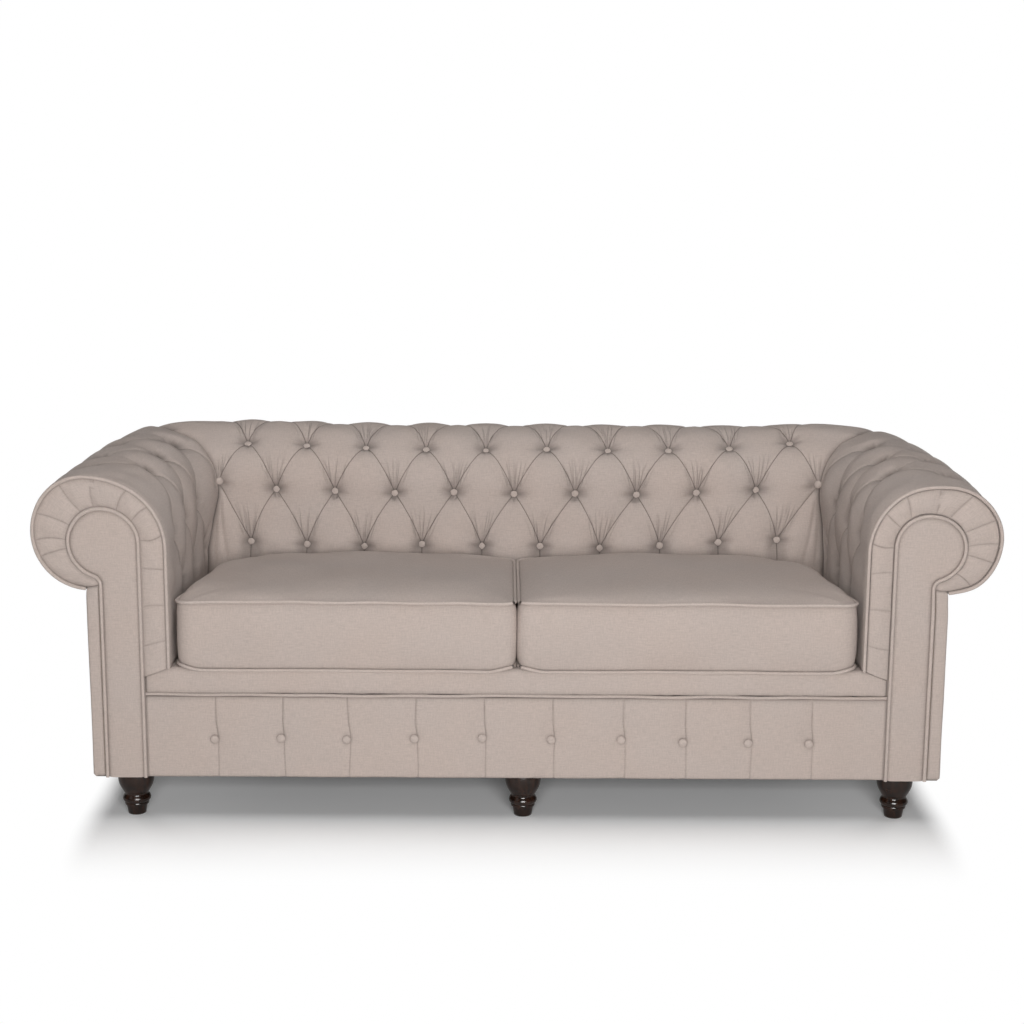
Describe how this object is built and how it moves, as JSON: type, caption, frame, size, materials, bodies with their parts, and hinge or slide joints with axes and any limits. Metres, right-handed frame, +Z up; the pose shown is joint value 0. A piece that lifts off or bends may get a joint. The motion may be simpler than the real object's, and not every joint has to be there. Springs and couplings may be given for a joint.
{
  "type": "rolled-arm buttoned sofa",
  "caption": "Sofa with rolled arms level with its deep-buttoned back, scroll arm fronts, a pleated front rail, loose box seat cushions and short turned feet.",
  "frame": {"origin": "on the floor under the middle of the sofa's overall plan", "axes": "+X towards the right of the front view, +Y from front to back, +Z up"},
  "size_m": [2.06, 0.9, 0.7598],
  "materials": {
    "upholstery": "matt plain weave, warm taupe",
    "piping": "matt plain weave, bias cut",
    "foot_wood": "near-black gloss stain",
    "frame_timber": "planed, unfinished",
    "stuffing": "soft filling",
    "webbing": "woven strap",
    "dust_cloth": "thin black felt"
  },
  "bodies": {
    "sofa_body": {"apron": "upholstery", "apron_piping": "piping", "arm_front_board_left": "frame_timber", "arm_front_board_right": "frame_timber", "arm_inner_board_left": "frame_timber", "arm_inner_board_right": "frame_timber", "arm_panel_left": "upholstery", "arm_panel_right": "upholstery", "arm_roll_core_left": "stuffing", "arm_roll_core_right": "stuffing", "back_board": "frame_timber", "back_roll_core": "stuffing", "centre_plank": "frame_timber", "cross_strap_1": "webbing", "cross_strap_2": "webbing", "dust_cover": "dust_cloth", "foot_block_left": "frame_timber", "foot_block_right": "frame_timber", "foot_front_left": "foot_wood", "foot_front_middle": "foot_wood", "foot_front_right": "foot_wood", "foot_rear_left": "foot_wood", "foot_rear_middle": "foot_wood", "foot_rear_right": "foot_wood", "front_border": "upholstery", "front_rail": "frame_timber", "inner_piping_left": "piping", "inner_piping_right": "piping", "inside_arm_left": "upholstery", "inside_arm_right": "upholstery", "inside_back": "upholstery", "outer_piping_left": "piping", "outer_piping_right": "piping", "outside_arm_left": "upholstery", "outside_arm_right": "upholstery", "outside_back": "upholstery", "rear_post_left": "frame_timber", "rear_post_right": "frame_timber", "rear_rail": "frame_timber", "scroll_band_left": "upholstery", "scroll_band_right": "upholstery", "seat_deck": "stuffing", "seat_strap_1": "webbing", "seat_strap_2": "webbing", "seat_strap_3": "webbing", "seat_strap_4": "webbing", "seat_strap_5": "webbing", "seat_strap_6": "webbing", "side_rail_left": "frame_timber", "side_rail_right": "frame_timber"},
    "left_cushion": {"cushion_left": "upholstery", "cushion_lower_piping_left": "piping", "cushion_top_piping_left": "piping"},
    "right_cushion": {"cushion_lower_piping_right": "piping", "cushion_right": "upholstery", "cushion_top_piping_right": "piping"}
  },
  "joints": [
    {"name": "left_cushion_lift", "type": "slide", "parent": "sofa_body", "child": "left_cushion", "axis": [0, 0, 1], "range_m": [0, 0.45]},
    {"name": "right_cushion_lift", "type": "slide", "parent": "sofa_body", "child": "right_cushion", "axis": [0, 0, 1], "range_m": [0, 0.45]}
  ]
}
